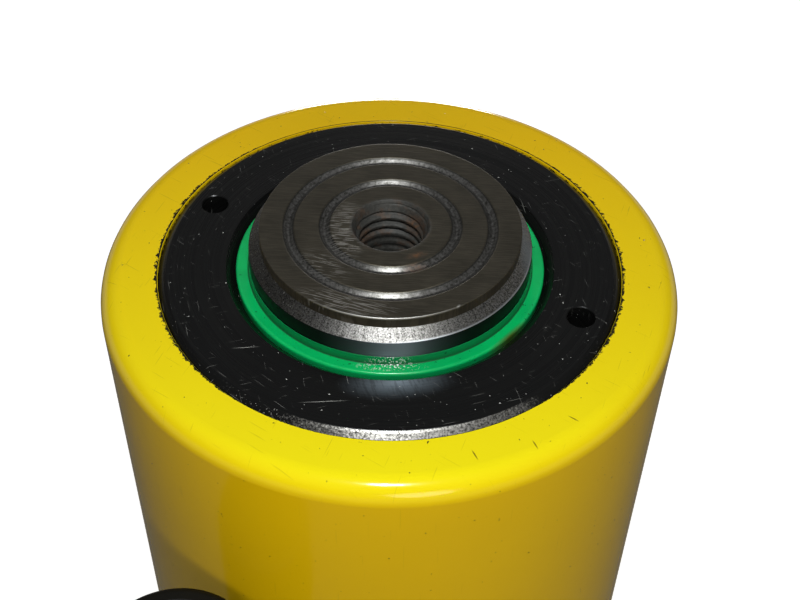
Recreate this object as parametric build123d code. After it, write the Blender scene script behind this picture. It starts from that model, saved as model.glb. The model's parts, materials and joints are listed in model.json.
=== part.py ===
from build123d import *
import os
from math import cos, radians, sin

os.makedirs("parts", exist_ok=True)

# Double-acting hydraulic cylinder of the 50 tonne, 700 bar class, shown retracted.
# Millimetres, +Z up. The origin is the centre of the base, where the four base bolts are centred.

# Barrel
barrel_od = 127.0
bore_d = 95.25
mouth_d = 101.6
top_edge_r = 4.7
foot_chamfer = 1.5
mouth_chamfer = 0.4

# Working lengths, stacked from the base up
plug_h = 34.0
lock_nut_h = 14.0
piston_h = 44.0
stop_boss_h = 12.0
stroke = 150.0
bush_h = 66.0
nut_depth = 30.0

# Plunger and its tail
rod_d = 61.5
tail_step = 8.75
rod_stand = 5.7
rod_chamfer_h = 2.0
rod_chamfer_w = 2.55
tail_chamfer = 1.5

# Saddle
saddle_overhang = 0.1
saddle_h = 2.66
saddle_edge = 0.4
spigot_d = 30.0
spigot_h = 22.0
spigot_room = 2.0
thread_minor_d = 13.6
saddle_mouth_d = 17.2
saddle_groove_depth = 1.1
saddle_ring_d = 2.8
inner_groove_r = 14.2
inner_groove_w = 2.3
outer_groove_r = 22.05
outer_groove_w = 2.1

# Gland nut
nut_proud = 0.6
nut_rim_d = 100.0
nut_rim_h = 4.0
nut_chamfer_w = 1.1
nut_chamfer_h = 1.6
spanner_pcd = 88.0
spanner_hole_d = 6.0
spanner_hole_depth = 9.0
spanner_hole_angle = 156.6
wiper_w = 3.05
wiper_seat_depth = 7.0
wiper_chamfer_w = 1.85
wiper_chamfer_h = 2.36

# Wiper ring, heights from the barrel's top face
wiper_edge_r = 0.6
wiper_crease_w = 0.7
wiper_crease_h = 1.1
wiper_lip_h = 1.9
wiper_relief = 1.0
wiper_heel_h = 3.0

# Base plug
plug_thread_h = 20.0
base_bolt_pcd = 70.0
base_bolt_count = 4
base_bolt_d = 10.2
base_bolt_depth = 20.0
plug_chamfer = 1.0
lock_screw_z = 10.0
lock_screw_angle = 60.0
lock_screw_sunk = 1.0
lock_screw_bite = 0.3

# Static seals, each an O-ring with a backup ring above it in one groove
static_cord = 5.0
static_backup_h = 1.9
static_groove_spare = 0.6
base_groove_z = 23.5
gland_groove_rise = 3.0

# Rod guide rings and rod seal. The rise or drop of a groove is from half way up the guide bush.
guide_ring_t = 2.7
guide_ring_split = 3.0
rod_guide_h = 12.0
rod_guide_low_z = 8.0
rod_guide_top_gap = 8.0
rod_seal_drop = 5.0
rod_seal_w = 6.2
rod_seal_h = 7.5
rod_backup_h = 2.3
rod_bore_gap = 0.25
bush_chamfer = 1.0

# Piston rings, heights from the bottom of the piston
piston_gap = 0.22
piston_guide_h = 10.0
piston_guide_low_z = 3.0
piston_guide_high_z = 31.0
piston_seal_z = 17.5
piston_seal_h = 9.0
piston_seal_w = 3.6
piston_energiser_d = 3.0
stop_boss_step = 7.25
piston_chamfer = 1.0
piston_o_ring_z = 20.0
piston_o_ring_d = 3.0
lock_nut_wall = 9.0
nut_screw_angle = 30.0

# Grub screws
grub_d = 6.0
nut_screw_length = 12.0
grub_socket_af = 3.0
grub_socket_depth = 3.0

# Ports and couplers. The coupler stands upright on its elbow, its axis this far outside the barrel.
port_angle = -120.7
port_stand_off = 21.4
port_drill_d = 8.0
port_thread_d = 17.0
port_thread_depth = 12.0
spot_face_d = 26.0
spot_face_depth = 1.5
elbow_leg_d = 19.0
elbow_corner_d = 22.0
elbow_band_d = 27.0
elbow_band_h = 10.0
elbow_top = 20.0
elbow_show = 1.0
elbow_engage = 10.0
elbow_drill_d = 7.0
elbow_band_edge = 1.2
hex_af = 27.0
hex_h = 10.0
adapter_engage = 11.4
adapter_spigot_d = 20.0
adapter_spigot_h = 6.5
spring_room_d = 11.6
spring_floor = 3.0
nose_d = 28.0
nose_h = 23.5
nose_relief_d = 25.4
nose_relief_h = 2.0
nose_chamfer = 1.0
socket_d = 16.0
socket_depth = 8.0
seat_d = 8.8
seat_h = 2.5
coupler_seal_d = 1.9
coupler_seal_drop = 5.0

# Poppet and its spring
poppet_head_d = 10.6
poppet_head_h = 4.0
poppet_pin_d = 3.6
poppet_pin_h = 8.0
poppet_stem_d = 6.0
poppet_travel = 4.0
poppet_stem_spare = 3.0
spring_mean_d = 8.8
spring_wire_d = 1.1
spring_turns = 5

# Dust cap
cap_d = 36.0
cap_wall_gap = 0.3
cap_roof = 4.7
cap_skirt_gap = 2.2
cap_edge_r = 2.5
cap_recess_d = 30.0
cap_recess_depth = 0.8

# Clearances
run_gap = 0.05
thread_gap = 0.05
screw_gap = 0.03
ring_gap = 0.1
seal_gap = 0.02

# Heights that follow
piston_z = plug_h + lock_nut_h
boss_z = piston_z + piston_h
shoulder_z = boss_z + stop_boss_h
bush_z = shoulder_z + stroke
nut_z = bush_z + bush_h
top_z = nut_z + nut_depth
rod_end_z = top_z + rod_stand + rod_chamfer_h
saddle_top_z = rod_end_z + saddle_h
advance_port_z = plug_h + lock_nut_h / 2
retract_port_z = bush_z - stop_boss_h / 2
nut_screw_z = plug_h + lock_nut_h / 2
saddle_ring_z = rod_end_z - spigot_h / 2

# Heights in the guide bush that follow
rod_guide_high_z = bush_h - rod_guide_top_gap - rod_guide_h
rod_seal_z = bush_h / 2 - rod_seal_drop
gland_groove_z = bush_h / 2 + gland_groove_rise

# Diameters that follow the rod
tail_d = rod_d - 2 * tail_step
saddle_d = rod_d - 2 * rod_chamfer_w + 2 * saddle_overhang
wiper_seat_d = rod_d + 2 * wiper_w
stop_boss_d = rod_d + 2 * stop_boss_step
lock_nut_af = tail_d + 2 * lock_nut_wall

# Radii that follow
bore_r = bore_d / 2
barrel_r = barrel_od / 2
mouth_r = mouth_d / 2
rod_r = rod_d / 2
tail_r = tail_d / 2
port_reach = barrel_r + port_stand_off
static_r = bore_r - thread_gap
static_groove_r = static_r - static_cord
ring_out_r = bore_r - run_gap
ring_in_r = rod_r + run_gap
saddle_socket_r = spigot_d / 2 + run_gap
saddle_ring_floor_r = saddle_socket_r - saddle_ring_d - 2 * seal_gap
lock_screw_tip_r = mouth_r - lock_screw_bite
lock_screw_length = barrel_r - lock_screw_sunk - lock_screw_tip_r
nut_screw_tip_r = lock_nut_af / 2 - nut_screw_length


def turned(points):
    """A solid turned about Z from a closed outline of (radius, height) points."""
    outline = Polyline(*[(r, 0, z) for r, z in points], close=True)
    return revolve(make_face(outline), Axis.Z)


def ring(inner_r, outer_r, low, high):
    """A plain square-section ring."""
    return turned([(inner_r, low), (outer_r, low), (outer_r, high), (inner_r, high)])


def drill(radius, low, high):
    """A round bar along Z, used as a pin or as a drilled hole."""
    return Pos(0, 0, low) * Cylinder(radius, high - low, align=(Align.CENTER, Align.CENTER, Align.MIN))


def o_ring(centre_r, cord_d, z):
    """A round-section ring about Z."""
    return Pos(0, 0, z) * Torus(centre_r, cord_d / 2)


def hexagon_bar(across_flats, low, high):
    """A hexagon bar along Z with its corners turned off at both ends, as a nut's are."""
    corner_r = across_flats / 2 / cos(radians(30))
    cut = corner_r - across_flats / 2
    bar = Pos(0, 0, low) * extrude(RegularPolygon(corner_r, 6), high - low)
    waist = cut * 0.5
    return bar & turned([
        (0, low), (corner_r - cut, low), (corner_r, low + waist),
        (corner_r, high - waist), (corner_r - cut, high), (0, high),
    ])


def split(shape, radius, low, high, width, angle):
    """Cut a narrow slot through one side of a ring, so that it can spring into its groove."""
    slot = Box(2 * radius, width, high - low, align=(Align.MIN, Align.CENTER, Align.MIN))
    return shape - Rot(0, 0, angle) * Pos(0, 0, low) * slot


def radial(shape, angle, z):
    """Turn a shape made along Z so that it lies along a radius, its Z pointing outwards."""
    return Pos(0, 0, z) * Rot(0, 0, angle) * Rot(0, 90, 0) * shape


def grub_screw(inner_end, length):
    """A socket set screw along Z whose inner end is at the given distance from the axis."""
    outer_end = inner_end + length
    body = chamfer(drill(grub_d / 2, inner_end, outer_end).edges().group_by(Axis.Z)[0], 0.6)
    socket = Pos(0, 0, outer_end - grub_socket_depth) * extrude(
        RegularPolygon(grub_socket_af / 2, 6, major_radius=False), grub_socket_depth
    )
    return body - socket


def at_port(shape, z):
    """Move a shape from the coupler's own frame to its port at height z.

    In the coupler's frame the origin is the corner of the elbow, Z is up and X points away from the barrel.
    """
    return Pos(0, 0, z) * Rot(0, 0, port_angle) * Pos(port_reach, 0, 0) * shape


# Barrel: a tube with a threaded mouth at each end and two ports

def make_barrel():
    mouth_floor_z = nut_z - 2.0
    body = turned([
        (mouth_r, 0), (barrel_r, 0), (barrel_r, top_z), (mouth_r, top_z),
        (mouth_r, mouth_floor_z), (bore_r, mouth_floor_z), (bore_r, plug_thread_h), (mouth_r, plug_thread_h),
    ])
    top_edges = body.edges().filter_by_position(Axis.Z, top_z - 0.01, top_z + 0.01).sort_by(SortBy.LENGTH)
    body = fillet(top_edges[-1], top_edge_r)
    mouth_edges = body.edges().filter_by_position(Axis.Z, top_z - 0.01, top_z + 0.01).sort_by(SortBy.LENGTH)
    body = chamfer(mouth_edges[0], mouth_chamfer)
    foot_edges = body.edges().filter_by_position(Axis.Z, -0.01, 0.01).sort_by(SortBy.LENGTH)
    body = chamfer(foot_edges[-1], foot_chamfer)
    for port_z in (advance_port_z, retract_port_z):
        through = drill(port_drill_d / 2, bore_r - 5, barrel_r + 5)
        threaded = drill(port_thread_d / 2, barrel_r - port_thread_depth, barrel_r + 5)
        spot_face = drill(spot_face_d / 2, barrel_r - spot_face_depth, barrel_r + 5)
        body -= radial(through + threaded + spot_face, port_angle, port_z)
    screw_hole = drill(grub_d / 2 + screw_gap, mouth_r - 5, barrel_r + 5)
    return body - radial(screw_hole, lock_screw_angle, lock_screw_z)


# Closed end

def static_groove(groove_z):
    """The groove of a static seal, as a ring to cut away."""
    height = static_cord + static_backup_h + static_groove_spare
    return ring(static_groove_r, bore_r + 1, groove_z, groove_z + height)


def static_o_ring(groove_z):
    centre_r = static_groove_r + static_cord / 2
    return o_ring(centre_r, static_cord - 0.02, groove_z + static_cord / 2 + ring_gap)


def static_backup(groove_z):
    low = groove_z + static_cord + 2 * ring_gap
    return ring(static_groove_r + run_gap, static_r, low, low + static_backup_h)


def make_base_plug():
    plug_r = mouth_r - thread_gap
    body = turned([
        (0, 0), (plug_r - plug_chamfer, 0), (plug_r, plug_chamfer), (plug_r, plug_thread_h),
        (static_r, plug_thread_h), (static_r, plug_h - plug_chamfer), (static_r - plug_chamfer, plug_h),
        (0, plug_h),
    ])
    body -= static_groove(base_groove_z)
    for hole in PolarLocations(base_bolt_pcd / 2, base_bolt_count, start_angle=45):
        body -= hole * drill(base_bolt_d / 2, -1, base_bolt_depth)
    # The lock screw's point bites in a shallow flat-bottomed hole in the plug's thread
    bite = drill(grub_d / 2 + screw_gap, lock_screw_tip_r, mouth_r + 5)
    return body - radial(bite, lock_screw_angle, lock_screw_z)


# Gland: guide bush, its rings, and the nut that holds it down

def make_guide_bush():
    inner_r = rod_r + rod_bore_gap
    body = turned([
        (inner_r, bush_z), (static_r - bush_chamfer, bush_z), (static_r, bush_z + bush_chamfer),
        (static_r, nut_z), (inner_r, nut_z),
    ])
    body -= static_groove(bush_z + gland_groove_z)
    groove_r = ring_in_r + guide_ring_t + ring_gap
    for ring_z in (rod_guide_low_z, rod_guide_high_z):
        low = bush_z + ring_z - ring_gap
        body -= ring(rod_r, groove_r, low, low + rod_guide_h + 2 * ring_gap)
    seal_low = bush_z + rod_seal_z - ring_gap
    seal_room = rod_seal_h + rod_backup_h + 3 * ring_gap
    return body - ring(rod_r, ring_in_r + rod_seal_w + ring_gap, seal_low, seal_low + seal_room)


def make_rod_guide_ring(ring_z, angle):
    low = bush_z + ring_z
    high = low + rod_guide_h
    body = ring(ring_in_r, ring_in_r + guide_ring_t, low, high)
    return split(body, barrel_r, low - 1, high + 1, guide_ring_split, angle)


def make_rod_seal():
    """A U-cup: a V between its two lips opens downwards, towards the oil."""
    low = bush_z + rod_seal_z
    outer_r = ring_in_r + rod_seal_w
    middle_r = (ring_in_r + outer_r) / 2
    lip_w = rod_seal_w * 0.16
    return turned([
        (ring_in_r, low + 0.8), (ring_in_r + lip_w, low), (middle_r, low + rod_seal_h * 0.5),
        (outer_r - lip_w, low), (outer_r, low + 0.8), (outer_r, low + rod_seal_h),
        (ring_in_r, low + rod_seal_h),
    ])


def make_rod_backup_ring():
    low = bush_z + rod_seal_z + rod_seal_h + ring_gap
    return ring(ring_in_r, ring_in_r + rod_seal_w, low, low + rod_backup_h)


def make_retaining_nut():
    face_z = top_z + nut_proud
    thread_r = mouth_r - thread_gap
    rim_r = nut_rim_d / 2
    seat_r = wiper_seat_d / 2
    inner_r = rod_r + rod_bore_gap
    body = turned([
        (inner_r, nut_z), (thread_r - 1, nut_z), (thread_r, nut_z + 1), (thread_r, top_z - nut_rim_h),
        (rim_r, top_z - nut_rim_h), (rim_r, face_z - nut_chamfer_h), (rim_r - nut_chamfer_w, face_z),
        (seat_r + wiper_chamfer_w, face_z), (seat_r, face_z - wiper_chamfer_h),
        (seat_r, top_z - wiper_seat_depth), (inner_r, top_z - wiper_seat_depth),
    ])
    for hole in PolarLocations(spanner_pcd / 2, 2, start_angle=spanner_hole_angle):
        body -= hole * drill(spanner_hole_d / 2, face_z - spanner_hole_depth, face_z + 1)
    return body


def make_wiper_ring():
    outer_r = wiper_seat_d / 2 - thread_gap
    low = top_z - wiper_seat_depth
    crease_r = ring_in_r + wiper_crease_w
    heel_r = ring_in_r + wiper_relief
    edge = 1 - sin(radians(45))
    return turned([
        (ring_in_r + rod_bore_gap, low), (outer_r, low), (outer_r, top_z - wiper_edge_r),
        (outer_r - edge * wiper_edge_r, top_z - edge * wiper_edge_r), (outer_r - wiper_edge_r, top_z),
        (crease_r, top_z + wiper_crease_h), (ring_in_r + 0.1, top_z + wiper_lip_h),
        (ring_in_r, top_z + wiper_lip_h - 0.1), (ring_in_r, top_z + wiper_crease_h),
        (heel_r, top_z - 0.8), (heel_r, low + wiper_heel_h), (ring_in_r + rod_bore_gap, low + wiper_heel_h - 0.6),
    ])


# Plunger and saddle

def make_plunger():
    socket_floor_z = rod_end_z - spigot_h - spigot_room
    body = turned([
        (0, plug_h + 0.5), (tail_r - tail_chamfer, plug_h + 0.5), (tail_r, plug_h + 0.5 + tail_chamfer),
        (tail_r, shoulder_z), (rod_r, shoulder_z), (rod_r, rod_end_z - rod_chamfer_h),
        (rod_r - rod_chamfer_w, rod_end_z), (saddle_socket_r, rod_end_z), (saddle_socket_r, socket_floor_z),
        (0, socket_floor_z),
    ])
    groove_low = piston_z + piston_o_ring_z - piston_o_ring_d / 2 - 2 * ring_gap
    groove_high = groove_low + piston_o_ring_d + 4 * ring_gap
    body -= ring(tail_r + thread_gap - piston_o_ring_d, tail_r + 1, groove_low, groove_high)
    bite = drill(grub_d / 2 + screw_gap, nut_screw_tip_r, tail_r + 5)
    return body - radial(bite, nut_screw_angle, nut_screw_z)


def make_saddle():
    disc_r = saddle_d / 2
    spigot_r = spigot_d / 2
    hole_r = thread_minor_d / 2
    mouth_depth = saddle_mouth_d / 2 - hole_r
    low = rod_end_z - spigot_h
    top = saddle_top_z
    grooves = []
    for centre_r, width in ((inner_groove_r, inner_groove_w), (outer_groove_r, outer_groove_w)):
        grooves += [(centre_r - width / 2, top), (centre_r, top - saddle_groove_depth), (centre_r + width / 2, top)]
    body = turned([
        (hole_r, low), (spigot_r - 1, low), (spigot_r, low + 1), (spigot_r, rod_end_z), (disc_r, rod_end_z),
        (disc_r, top - saddle_edge), (disc_r - saddle_edge, top),
        *reversed(grooves),
        (hole_r + mouth_depth, top), (hole_r, top - mouth_depth),
    ])
    half = saddle_ring_d / 2 + ring_gap
    return body - ring(saddle_ring_floor_r, spigot_r + 1, saddle_ring_z - half, saddle_ring_z + half)


def make_saddle_retaining_ring():
    centre_r = saddle_ring_floor_r + seal_gap + saddle_ring_d / 2
    return o_ring(centre_r, saddle_ring_d, saddle_ring_z)


# Piston stack on the tail of the plunger

def make_piston():
    land_r = bore_r - piston_gap
    inner_r = tail_r + thread_gap
    boss_r = stop_boss_d / 2
    body = turned([
        (inner_r, piston_z), (land_r - piston_chamfer, piston_z), (land_r, piston_z + piston_chamfer),
        (land_r, boss_z - piston_chamfer), (land_r - piston_chamfer, boss_z), (boss_r, boss_z),
        (boss_r, shoulder_z - piston_chamfer), (boss_r - piston_chamfer, shoulder_z), (inner_r, shoulder_z),
    ])
    groove_r = ring_out_r - guide_ring_t - ring_gap
    for ring_z in (piston_guide_low_z, piston_guide_high_z):
        low = piston_z + ring_z - ring_gap
        body -= ring(groove_r, bore_r, low, low + piston_guide_h + 2 * ring_gap)
    seal_low = piston_z + piston_seal_z - ring_gap
    seal_floor_r = ring_out_r - piston_seal_w - piston_energiser_d - ring_gap
    return body - ring(seal_floor_r, bore_r, seal_low, seal_low + piston_seal_h + 2 * ring_gap)


def make_piston_guide_ring(ring_z, angle):
    low = piston_z + ring_z
    high = low + piston_guide_h
    body = ring(ring_out_r - guide_ring_t, ring_out_r, low, high)
    return split(body, barrel_r, low - 1, high + 1, guide_ring_split, angle)


def make_piston_seal():
    low = piston_z + piston_seal_z
    return ring(ring_out_r - piston_seal_w, ring_out_r, low, low + piston_seal_h)


def make_piston_energiser_ring():
    centre_r = ring_out_r - piston_seal_w - piston_energiser_d / 2
    return o_ring(centre_r, piston_energiser_d - 0.04, piston_z + piston_seal_z + piston_seal_h / 2)


def make_piston_o_ring():
    centre_r = tail_r + thread_gap - piston_o_ring_d / 2
    return o_ring(centre_r, piston_o_ring_d - 0.04, piston_z + piston_o_ring_z)


def make_piston_lock_nut():
    body = hexagon_bar(lock_nut_af, plug_h, piston_z) - drill(tail_r + thread_gap, plug_h - 1, piston_z + 1)
    hole = drill(grub_d / 2 + screw_gap, tail_r - 5, lock_nut_af)
    return body - radial(hole, nut_screw_angle, nut_screw_z)


# Ports: an elbow screwed into the barrel and a self-sealing coupler standing on it

hex_top = elbow_top + hex_h
nose_top = hex_top + nose_h
seat_z = nose_top - socket_depth - seat_h
spring_low = elbow_top + spring_floor
poppet_shoulder_z = seat_z - run_gap


def make_elbow():
    wall_x = -(port_reach - barrel_r)
    body_end_x = wall_x - spot_face_depth + elbow_show
    thread_end_x = wall_x - elbow_engage
    level = Rot(0, -90, 0)
    body = level * drill(elbow_leg_d / 2, 0, -body_end_x)
    body += Sphere(elbow_corner_d / 2)
    body += drill(elbow_corner_d / 2, 0, elbow_top)
    band = drill(elbow_band_d / 2, elbow_top - elbow_band_h, elbow_top)
    body += fillet(band.edges().filter_by(GeomType.CIRCLE), elbow_band_edge)
    body += level * drill(port_thread_d / 2 - thread_gap, -body_end_x - 1, -thread_end_x)
    body -= level * drill(elbow_drill_d / 2, 0, -thread_end_x + 1)
    body -= drill(elbow_drill_d / 2, 0, elbow_top)
    return body - drill(port_thread_d / 2, elbow_top - port_thread_depth, elbow_top + 1) - Sphere(elbow_drill_d / 2)


def make_coupler_adapter():
    low = elbow_top - adapter_engage
    body = drill(port_thread_d / 2 - thread_gap, low, elbow_top + 1)
    body += hexagon_bar(hex_af, elbow_top, hex_top)
    body += drill(adapter_spigot_d / 2 - thread_gap, hex_top - 1, hex_top + adapter_spigot_h)
    body -= drill(elbow_drill_d / 2, low - 1, hex_top)
    return body - drill(spring_room_d / 2, spring_low, nose_top)


def make_coupler_body():
    nose_r = nose_d / 2
    relief_r = nose_relief_d / 2
    spigot_r = adapter_spigot_d / 2
    spigot_top = hex_top + adapter_spigot_h + 0.5
    chamber_r = poppet_head_d / 2 + 1.2
    seat_r = seat_d / 2
    socket_r = socket_d / 2
    seat_slope = chamber_r - seat_r
    body = turned([
        (spigot_r, hex_top), (relief_r, hex_top), (relief_r, hex_top + nose_relief_h),
        (nose_r, hex_top + nose_relief_h + nose_r - relief_r), (nose_r, nose_top - nose_chamfer),
        (nose_r - nose_chamfer, nose_top), (socket_r + 0.6, nose_top), (socket_r, nose_top - 0.6),
        (socket_r, seat_z + seat_h), (seat_r, seat_z + seat_h), (seat_r, seat_z),
        (chamber_r, seat_z - seat_slope), (chamber_r, spigot_top), (spigot_r, spigot_top),
    ])
    seal_z = nose_top - coupler_seal_drop
    half = coupler_seal_d / 2 + ring_gap
    return body - ring(socket_r - 1, socket_r + coupler_seal_d * 0.7, seal_z - half, seal_z + half)


def make_coupler_seal():
    centre_r = socket_d / 2 + coupler_seal_d * 0.2 - 0.02
    return o_ring(centre_r, coupler_seal_d, nose_top - coupler_seal_drop)


def make_poppet():
    head_r = poppet_head_d / 2
    cone_r = seat_d / 2
    shoulder = poppet_shoulder_z
    cone_low = shoulder - (head_r - cone_r)
    head_low = shoulder - poppet_head_h
    cone_top_r = cone_r - 1.2
    pin_r = poppet_pin_d / 2
    stem_r = poppet_stem_d / 2
    stem_low = spring_low + poppet_travel + poppet_stem_spare
    return turned([
        (0, stem_low), (stem_r - 0.5, stem_low), (stem_r, stem_low + 0.5),
        (stem_r, head_low), (head_r, head_low), (head_r, cone_low),
        (cone_top_r, shoulder + 1.2), (pin_r, shoulder + 1.2), (pin_r, shoulder + poppet_pin_h - 0.5),
        (pin_r - 0.5, shoulder + poppet_pin_h), (0, shoulder + poppet_pin_h),
    ])


def make_poppet_spring():
    """A coil spring between the adapter's floor and the poppet's head."""
    wire_r = spring_wire_d / 2
    coil_r = spring_mean_d / 2
    low = spring_low + wire_r + run_gap
    high = poppet_shoulder_z - poppet_head_h - wire_r - run_gap
    path = Pos(0, 0, low) * Helix((high - low) / spring_turns, high - low, coil_r)
    section = Plane(origin=path @ 0, z_dir=path % 0) * Circle(wire_r)
    return sweep(section, path, is_frenet=True)


def make_dust_cap():
    cap_r = cap_d / 2
    low = hex_top + cap_skirt_gap
    top = nose_top + cap_roof
    body = drill(cap_r, low, top)
    body = fillet(body.edges().group_by(Axis.Z)[-1], cap_edge_r)
    body = chamfer(body.edges().group_by(Axis.Z)[0], 0.5)
    body -= drill(nose_d / 2 + cap_wall_gap, low - 1, nose_top)
    return body - drill(cap_recess_d / 2, top - cap_recess_depth, top + 1)


nodes = {
    "barrel": make_barrel(),
    "base_plug": make_base_plug(),
    "base_o_ring": static_o_ring(base_groove_z),
    "base_backup_ring": static_backup(base_groove_z),
    "base_lock_screw": radial(
        grub_screw(lock_screw_tip_r, lock_screw_length), lock_screw_angle, lock_screw_z
    ),
    "guide_bush": make_guide_bush(),
    "gland_o_ring": static_o_ring(bush_z + gland_groove_z),
    "gland_backup_ring": static_backup(bush_z + gland_groove_z),
    "rod_guide_ring_lower": make_rod_guide_ring(rod_guide_low_z, 20),
    "rod_guide_ring_upper": make_rod_guide_ring(rod_guide_high_z, 200),
    "rod_seal": make_rod_seal(),
    "rod_backup_ring": make_rod_backup_ring(),
    "retaining_nut": make_retaining_nut(),
    "wiper_ring": make_wiper_ring(),
    "plunger": make_plunger(),
    "saddle": make_saddle(),
    "saddle_retaining_ring": make_saddle_retaining_ring(),
    "piston": make_piston(),
    "piston_guide_ring_lower": make_piston_guide_ring(piston_guide_low_z, 75),
    "piston_guide_ring_upper": make_piston_guide_ring(piston_guide_high_z, 255),
    "piston_seal": make_piston_seal(),
    "piston_energiser_ring": make_piston_energiser_ring(),
    "piston_o_ring": make_piston_o_ring(),
    "piston_lock_nut": make_piston_lock_nut(),
    "piston_lock_screw": radial(
        grub_screw(nut_screw_tip_r, nut_screw_length), nut_screw_angle, nut_screw_z
    ),
}

coupler_pieces = {
    "elbow": make_elbow(),
    "coupler_adapter": make_coupler_adapter(),
    "coupler_body": make_coupler_body(),
    "coupler_seal": make_coupler_seal(),
    "poppet": make_poppet(),
    "poppet_spring": make_poppet_spring(),
    "dust_cap": make_dust_cap(),
}
for port, port_z in (("advance", advance_port_z), ("retract", retract_port_z)):
    for piece, shape in coupler_pieces.items():
        nodes[port + "_" + piece] = at_port(shape, port_z)

for name, shape in nodes.items():
    shape.label = name
    export_step(shape, "parts/" + name + ".step")

print("nodes", len(nodes))
print("barrel top", top_z, "saddle face", saddle_top_z, "stroke", stroke)
print("ports", advance_port_z, retract_port_z, "nose top above port", nose_top)
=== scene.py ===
# %% [markdown]
# # A double-acting hydraulic cylinder
# The part is a short, heavy cylinder that stands upright and looks up at us: a yellow barrel, a black gland
# nut, a green wiper ring, a ground plunger and a round steel saddle with a threaded hole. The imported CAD
# model gives every piece its size and place. This script leaves both as they are. It gives the visible pieces
# finer surfaces, such as real threads and fluted caps, and gives every piece a material.

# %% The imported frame
import json
from math import pi, radians

import bmesh
import bpy
import numpy as np
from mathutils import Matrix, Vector

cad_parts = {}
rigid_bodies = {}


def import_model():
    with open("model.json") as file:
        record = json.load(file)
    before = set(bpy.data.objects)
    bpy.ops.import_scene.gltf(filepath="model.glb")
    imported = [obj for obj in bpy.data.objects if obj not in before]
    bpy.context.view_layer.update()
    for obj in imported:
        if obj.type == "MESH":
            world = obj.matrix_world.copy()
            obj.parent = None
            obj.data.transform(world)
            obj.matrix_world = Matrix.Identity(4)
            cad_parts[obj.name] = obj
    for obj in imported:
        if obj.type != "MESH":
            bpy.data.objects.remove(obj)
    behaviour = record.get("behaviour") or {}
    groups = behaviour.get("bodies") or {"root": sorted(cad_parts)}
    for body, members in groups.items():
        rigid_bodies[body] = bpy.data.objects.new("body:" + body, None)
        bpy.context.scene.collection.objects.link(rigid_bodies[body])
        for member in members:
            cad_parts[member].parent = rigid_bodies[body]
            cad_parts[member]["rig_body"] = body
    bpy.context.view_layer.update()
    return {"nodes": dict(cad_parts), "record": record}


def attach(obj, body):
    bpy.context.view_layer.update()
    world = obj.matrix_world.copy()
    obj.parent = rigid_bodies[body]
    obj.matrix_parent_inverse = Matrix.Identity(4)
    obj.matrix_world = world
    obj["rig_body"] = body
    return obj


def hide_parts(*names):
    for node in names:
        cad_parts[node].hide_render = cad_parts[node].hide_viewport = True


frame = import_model()
MM = 0.001

# %% [markdown]
# ## Shapes made by turning
# Almost every piece here is turned on a lathe, so almost every surface can be a closed outline of radius and
# height, carried round an axis. Blender's Screw modifier could do that, but it can't cut a thread or a
# flute. A grid of points can: each point starts at its outline's radius, and one function of radius, height
# and angle may then change that radius, for all points at once.

# %% An outline with rounded corners
def unit(vectors):
    return vectors / np.linalg.norm(vectors, axis=-1, keepdims=True)


def rounded(corners, steps=6, hold=0.05, closed=True):
    """Turn corners (radius, height, rounding), in mm, into the points of an outline.

    A corner B whose sides point along a and c, and which turns by t, becomes a circular arc from B + d a to
    B + d c, where d = rounding x tan(t / 2). The arc is a quadratic Bezier curve whose middle point weighs
    cos(t / 2). One point more on each side, `hold` further out, keeps the flats' shading flat.
    """
    corners = np.array(corners, float)
    point, rounding = corners[:, :2], corners[:, 2:]
    back = np.roll(point, 1, axis=0) - point
    ahead = np.roll(point, -1, axis=0) - point
    shorter = np.minimum(np.linalg.norm(back, axis=1), np.linalg.norm(ahead, axis=1))[:, None]
    back, ahead = unit(back), unit(ahead)
    cos_turn = -(back * ahead).sum(axis=1, keepdims=True)
    weight = np.sqrt((1 + cos_turn) / 2)[:, None]
    hold = np.minimum(hold, 0.1 * shorter)
    setback = np.minimum(rounding * np.sqrt((1 - cos_turn) / (1 + cos_turn)), 0.49 * shorter - hold)
    first, last = point + setback * back, point + setback * ahead
    s = np.linspace(0, 1, steps)[None, :, None]
    share = np.stack([(1 - s) ** 2 + 0 * weight, 2 * s * (1 - s) * weight, s ** 2 + 0 * weight])
    arc = (share * np.stack([first, point, last])[:, :, None, :]).sum(axis=0) / share.sum(axis=0)
    ends = [(first + hold * back)[:, None], arc, (last + hold * ahead)[:, None]]
    blocks = np.concatenate(ends, axis=1)
    if closed:
        return blocks.reshape(-1, 2)
    return np.vstack([point[:1], blocks[1:-1].reshape(-1, 2), point[-1:]])


def dense(outline, step, closed=True):
    """Add points to an outline, evenly along it, so that no gap is longer than step."""
    path = np.vstack([outline, outline[:1]]) if closed else outline
    along = np.concatenate([[0], np.cumsum(np.linalg.norm(np.diff(path, axis=0), axis=1))])
    at = np.union1d(along, np.arange(0, along[-1], step))
    at = at[:-1] if closed else at
    return np.stack([np.interp(at, along, path[:, k]) for k in (0, 1)], axis=1)


square = [(0, 0, 1), (9, 0, 1), (9, 9, 1), (0, 9, 1)]
print("a square with rounded corners has", len(rounded(square)), "points")

# %% Turning an outline about an axis
def turned(outline, columns=192, change=None):
    """A grid of points (r cos a, r sin a, z), for every outline point (r, z) and every angle a.

    `change` takes radius, height and angle as arrays and gives the new radius.
    """
    a = np.linspace(0, 2 * pi, columns, endpoint=False)[None, :]
    r, z = outline[:, :1], outline[:, 1:]
    r = change(r, z, a) if change else r + 0 * a
    return np.stack([r * np.cos(a), r * np.sin(a), z + 0 * a], axis=-1)


def quads(rows, columns, rows_meet):
    """The four corners of each square of a grid. Its columns always meet, its rows only if rows_meet."""
    i = np.arange(rows if rows_meet else rows - 1)[:, None]
    j = np.arange(columns)[None, :]
    here, above = i * columns, (i + 1) % rows * columns
    after = (j + 1) % columns
    return np.stack([here + j, here + after, above + after, above + j], axis=-1).reshape(-1, 4)


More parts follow.
